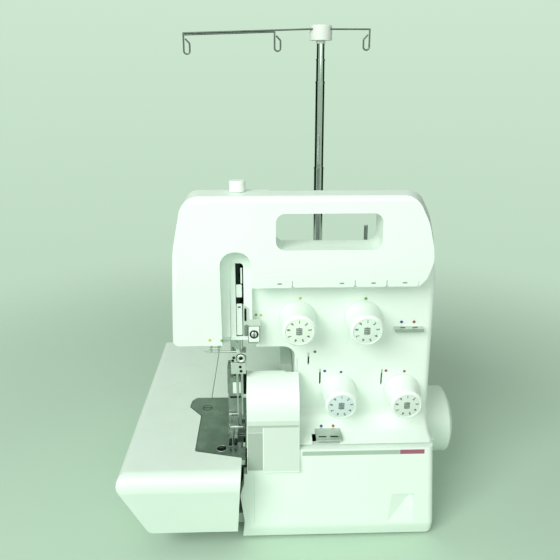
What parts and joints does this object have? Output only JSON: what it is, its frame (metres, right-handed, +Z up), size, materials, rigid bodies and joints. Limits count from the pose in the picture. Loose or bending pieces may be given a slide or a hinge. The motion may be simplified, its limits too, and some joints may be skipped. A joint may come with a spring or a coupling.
{
  "type": "overlock sewing machine",
  "caption": "Domestic overlock sewing machine: boxy white body with carry handle, tension dials, looper cover, swing-out cloth plate, handwheel and telescopic thread pole.",
  "frame": {"origin": "middle of the footprint on the table, at the underside of the rubber feet", "axes": "+X to the handwheel side (the user's right), +Y to the back, +Z up"},
  "size_m": [0.2712, 0.27, 0.4075],
  "materials": {
    "cover_white": "glossy moulded ABS, near white with a pale green cast",
    "plate_white": "glossy moulded ABS, near white",
    "dial_white": "glossy moulded plastic dial with printed scale",
    "wheel_white": "smooth moulded plastic",
    "base_grey": "fine-textured moulded tray",
    "knob_grey": "satin grey plastic",
    "black_plastic": "satin black plastic",
    "foot_rubber": "black rubber",
    "belt_rubber": "black toothed rubber",
    "satin_steel": "satin steel",
    "bright_steel": "polished plated steel",
    "cast_frame": "die-cast, as cast",
    "bush_brass": "sintered bronze",
    "motor_paint": "black painted steel can",
    "lamp_lens": "clear lens"
  },
  "bodies": {
    "machine": {"front_cover": "cover_white", "rear_cover": "cover_white", "side_cover": "cover_white", "bed_cover": "plate_white", "base_tray": "base_grey", "rubber_feet": "foot_rubber", "cloth_plate_pin": "satin_steel", "needle_plate": "satin_steel", "plate_screws": "bright_steel", "spool_stand": "cover_white", "spool_pins": "satin_steel", "case_screws": "satin_steel", "pole_lower_tube": "satin_steel", "main_frame": "cast_frame", "shaft_bushes": "bush_brass", "drive_belt": "belt_rubber", "motor": "motor_paint", "motor_bracket": "satin_steel", "needle_bar_bushes": "bush_brass", "presser_spring": "satin_steel", "lower_knife": "bright_steel", "tension_studs": "satin_steel", "inlet_socket": "black_plastic", "panel_thread_guides": "bright_steel", "head_thread_guides": "bright_steel", "lamp_module": "lamp_lens"},
    "cloth_plate_door": {"cloth_plate": "plate_white"},
    "cover_slider": {"cover_hinge_rod": "satin_steel"},
    "looper_door": {"looper_cover": "cover_white"},
    "drive_train": {"main_shaft": "satin_steel", "handwheel": "wheel_white", "shaft_pulley": "black_plastic"},
    "motor_rotor": {"motor_pulley": "satin_steel"},
    "needle_arm": {"upper_shaft": "satin_steel", "take_up_lever": "bright_steel"},
    "needle_bar_group": {"needle_bar": "bright_steel", "needle_clamp": "satin_steel", "needles": "bright_steel", "clamp_screws": "bright_steel"},
    "presser_group": {"presser_bar": "bright_steel", "foot_holder": "satin_steel"},
    "foot": {"presser_foot": "bright_steel"},
    "lifter": {"presser_lifter": "satin_steel"},
    "knob": {"pressure_knob": "dial_white"},
    "looper_lower": {"lower_looper": "bright_steel"},
    "looper_upper": {"upper_looper": "bright_steel"},
    "knife_upper": {"upper_knife": "bright_steel"},
    "feed": {"feed_dog": "satin_steel"},
    "dial_a": {"left_needle_dial": "dial_white"},
    "dial_b": {"right_needle_dial": "dial_white"},
    "dial_c": {"upper_looper_dial": "dial_white"},
    "dial_d": {"lower_looper_dial": "dial_white"},
    "length_dial": {"stitch_length_dial": "dial_white"},
    "feed_lever": {"differential_lever": "dial_white"},
    "switch": {"power_switch": "black_plastic"},
    "pole_middle": {"pole_middle_tube": "satin_steel"},
    "pole_upper": {"pole_upper_tube": "satin_steel"},
    "pole_top": {"pole_top_tube": "satin_steel"},
    "guide_bar": {"guide_bar_holder": "knob_grey", "thread_guide_bar": "bright_steel"}
  },
  "joints": [
    {"name": "cloth_plate_swing", "type": "hinge", "parent": "machine", "child": "cloth_plate_door", "pos_m": [-0.0579, 0.08, 0.065], "axis": [0, 0, 1], "range_deg": [-45, 0]},
    {"name": "looper_cover_slide", "type": "slide", "parent": "machine", "child": "cover_slider", "axis": [1, 0, 0], "range_m": [0, 0.006]},
    {"name": "looper_cover_tip", "type": "hinge", "parent": "cover_slider", "child": "looper_door", "pos_m": [0.0325, -0.098, 0.01], "axis": [1, 0, 0], "range_deg": [0, 75]},
    {"name": "handwheel_turn", "type": "hinge", "parent": "machine", "child": "drive_train", "pos_m": [0.0525, -0.03, 0.06], "axis": [1, 0, 0], "continuous": true},
    {"name": "motor_turn", "type": "hinge", "parent": "machine", "child": "motor_rotor", "pos_m": [0.0825, 0.055, 0.06], "axis": [1, 0, 0], "continuous": true},
    {"name": "needle_arm_rock", "type": "hinge", "parent": "machine", "child": "needle_arm", "pos_m": [-0.0475, -0.026, 0.196], "axis": [1, 0, 0], "range_deg": [-5.4, 22]},
    {"name": "needle_bar_slide", "type": "slide", "parent": "machine", "child": "needle_bar_group", "axis": [0, 0, 1], "range_m": [-0.024, 0.006]},
    {"name": "presser_bar_slide", "type": "slide", "parent": "machine", "child": "presser_group", "axis": [0, 0, 1], "range_m": [0, 0.006], "stiffness_N_per_m": 200, "springref_m": -0.01, "deforming": ["presser_spring"]},
    {"name": "presser_foot_rock", "type": "hinge", "parent": "presser_group", "child": "foot", "pos_m": [-0.0515, -0.078, 0.094], "axis": [1, 0, 0], "range_deg": [-1.2, 0.6]},
    {"name": "presser_lift", "type": "hinge", "parent": "machine", "child": "lifter", "pos_m": [-0.0675, -0.034, 0.182], "axis": [1, 0, 0], "range_deg": [0, 40]},
    {"name": "foot_pressure_turn", "type": "hinge", "parent": "machine", "child": "knob", "pos_m": [-0.046, -0.0875, 0.28], "axis": [0, 0, 1], "range_deg": [-180, 180]},
    {"name": "lower_looper_rock", "type": "hinge", "parent": "machine", "child": "looper_lower", "pos_m": [-0.0305, -0.06, 0.034], "axis": [0, 1, 0], "range_deg": [-10, 10]},
    {"name": "upper_looper_rock", "type": "hinge", "parent": "machine", "child": "looper_upper", "pos_m": [-0.0095, -0.06, 0.05], "axis": [0, 1, 0], "range_deg": [-8, 8]},
    {"name": "upper_knife_slide", "type": "slide", "parent": "machine", "child": "knife_upper", "axis": [0, 0, 1], "range_m": [0, 0.007]},
    {"name": "feed_slide", "type": "slide", "parent": "machine", "child": "feed", "axis": [0, 1, 0], "range_m": [-0.0015, 0.0015]},
    {"name": "left_needle_tension_turn", "type": "hinge", "parent": "machine", "child": "dial_a", "pos_m": [-0.0025, -0.08828, 0.1836], "axis": [0, -0.9945, -0.1045], "range_deg": [-150, 150]},
    {"name": "right_needle_tension_turn", "type": "hinge", "parent": "machine", "child": "dial_b", "pos_m": [0.0467, -0.08825, 0.1833], "axis": [0, -0.9945, -0.1045], "range_deg": [-150, 150]},
    {"name": "upper_looper_tension_turn", "type": "hinge", "parent": "machine", "child": "dial_c", "pos_m": [0.0305, -0.08148, 0.1189], "axis": [0, -0.9945, -0.1045], "range_deg": [-150, 150]},
    {"name": "lower_looper_tension_turn", "type": "hinge", "parent": "machine", "child": "dial_d", "pos_m": [0.0807, -0.08142, 0.1184], "axis": [0, -0.9945, -0.1045], "range_deg": [-150, 150]},
    {"name": "stitch_length_turn", "type": "hinge", "parent": "machine", "child": "length_dial", "pos_m": [0.1025, 0.014, 0.092], "axis": [1, 0, 0], "range_deg": [-120, 120]},
    {"name": "differential_feed_swing", "type": "hinge", "parent": "machine", "child": "feed_lever", "pos_m": [0.1025, 0.06, 0.11], "axis": [1, 0, 0], "range_deg": [-20, 20]},
    {"name": "power_switch_rock", "type": "hinge", "parent": "machine", "child": "switch", "pos_m": [0.1025, 0.079, 0.06675], "axis": [0, 1, 0], "range_deg": [-8, 8]},
    {"name": "pole_middle_slide", "type": "slide", "parent": "machine", "child": "pole_middle", "axis": [0, 0, 1], "range_m": [-0.08, 0]},
    {"name": "pole_upper_slide", "type": "slide", "parent": "pole_middle", "child": "pole_upper", "axis": [0, 0, 1], "range_m": [-0.018, 0.055]},
    {"name": "pole_top_slide", "type": "slide", "parent": "pole_upper", "child": "pole_top", "axis": [0, 0, 1], "range_m": [-0.012, 0.055]},
    {"name": "guide_bar_turn", "type": "hinge", "parent": "pole_top", "child": "guide_bar", "pos_m": [0.0305, 0.115, 0.4], "axis": [0, 0, 1], "range_deg": [-90, 90]}
  ],
  "couplings": [
    {"joint": "motor_turn", "follows": "handwheel_turn", "ratio": 3},
    {"joint": "needle_bar_slide", "follows": "needle_arm_rock", "m_per_rad": -0.062},
    {"joint": "presser_lift", "follows": "presser_bar_slide", "rad_per_m": 116.3}
  ]
}
